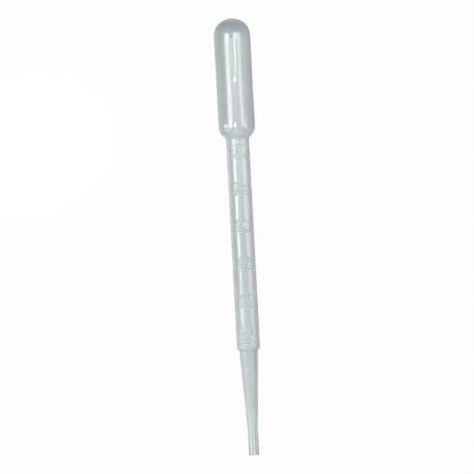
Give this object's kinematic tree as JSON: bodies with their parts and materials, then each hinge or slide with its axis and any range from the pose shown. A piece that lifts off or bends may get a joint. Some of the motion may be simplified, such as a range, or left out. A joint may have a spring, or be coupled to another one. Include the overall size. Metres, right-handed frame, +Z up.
{
  "type": "plastic dropper pipette",
  "caption": "Graduated plastic transfer pipette with a squeeze bulb, a straight stem and a tapered tip, moulded as one hollow piece.",
  "frame": {"origin": "on the surface that the pipette lies on, under the middle of its bounding box", "axes": "+Y along its length from the tip towards the bulb, +Z up, with the graduation marks on the side that faces up"},
  "size_m": [0.0128, 0.155, 0.0138],
  "materials": {
    "translucent_plastic": "gloss"
  },
  "bodies": {
    "root": {"pipette": "translucent_plastic"}
  },
  "joints": []
}
